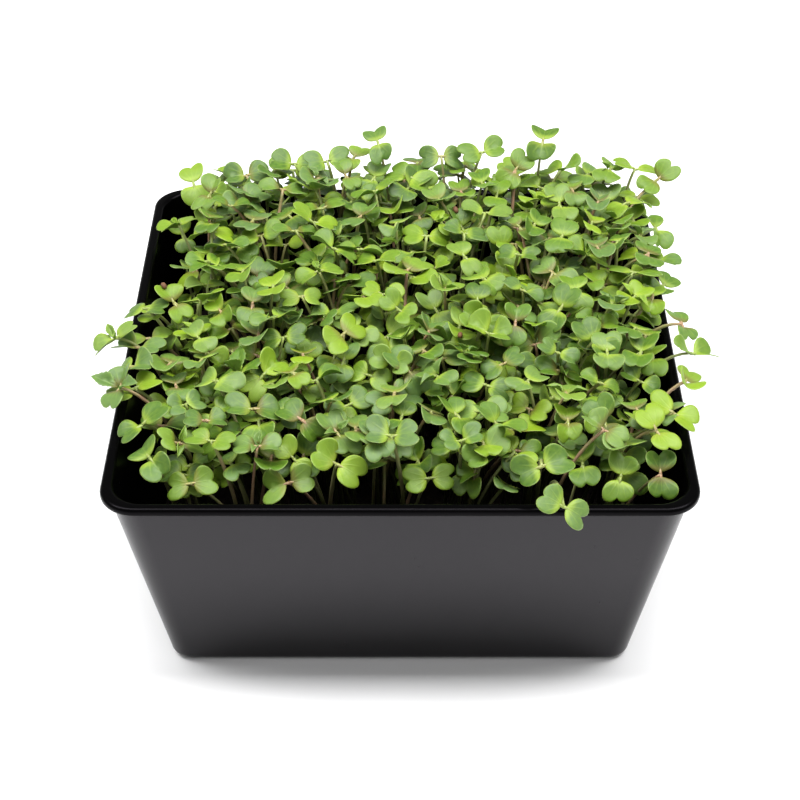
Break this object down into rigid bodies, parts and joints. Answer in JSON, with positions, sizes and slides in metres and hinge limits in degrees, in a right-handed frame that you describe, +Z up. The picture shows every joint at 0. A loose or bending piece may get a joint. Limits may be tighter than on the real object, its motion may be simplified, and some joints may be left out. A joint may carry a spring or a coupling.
{
  "type": "microgreens tray",
  "caption": "Square black plastic growing tray filled with dense brassica microgreens whose notched seed leaves spread over the rim",
  "frame": {"origin": "centre of the tray's flat underside", "axes": "+Z up, -Y towards the front, where one seedling hangs over the lip, +X to the right seen from the front"},
  "size_m": [0.1801, 0.172, 0.1022],
  "materials": {
    "tray_plastic": "satin",
    "growing_medium": "matte",
    "seedling": "satin"
  },
  "bodies": {
    "root": {"tray": "tray_plastic", "soil": "growing_medium", "clump_01": "seedling", "clump_02": "seedling", "clump_03": "seedling", "clump_04": "seedling", "clump_05": "seedling", "clump_06": "seedling", "clump_07": "seedling", "clump_08": "seedling", "clump_09": "seedling", "clump_10": "seedling", "clump_11": "seedling", "clump_12": "seedling", "clump_13": "seedling", "clump_14": "seedling", "clump_15": "seedling", "clump_16": "seedling", "clump_17": "seedling", "clump_18": "seedling", "clump_19": "seedling", "clump_20": "seedling", "clump_21": "seedling", "clump_22": "seedling", "clump_23": "seedling", "clump_24": "seedling", "clump_25": "seedling", "clump_26": "seedling", "clump_27": "seedling", "clump_28": "seedling", "clump_29": "seedling", "clump_30": "seedling", "clump_31": "seedling", "clump_32": "seedling", "clump_33": "seedling", "clump_34": "seedling", "clump_35": "seedling", "clump_36": "seedling", "clump_37": "seedling", "clump_38": "seedling", "clump_39": "seedling", "clump_40": "seedling", "clump_41": "seedling", "clump_42": "seedling", "clump_43": "seedling", "clump_44": "seedling", "clump_45": "seedling", "clump_46": "seedling", "clump_47": "seedling", "clump_48": "seedling", "clump_49": "seedling"}
  },
  "joints": []
}
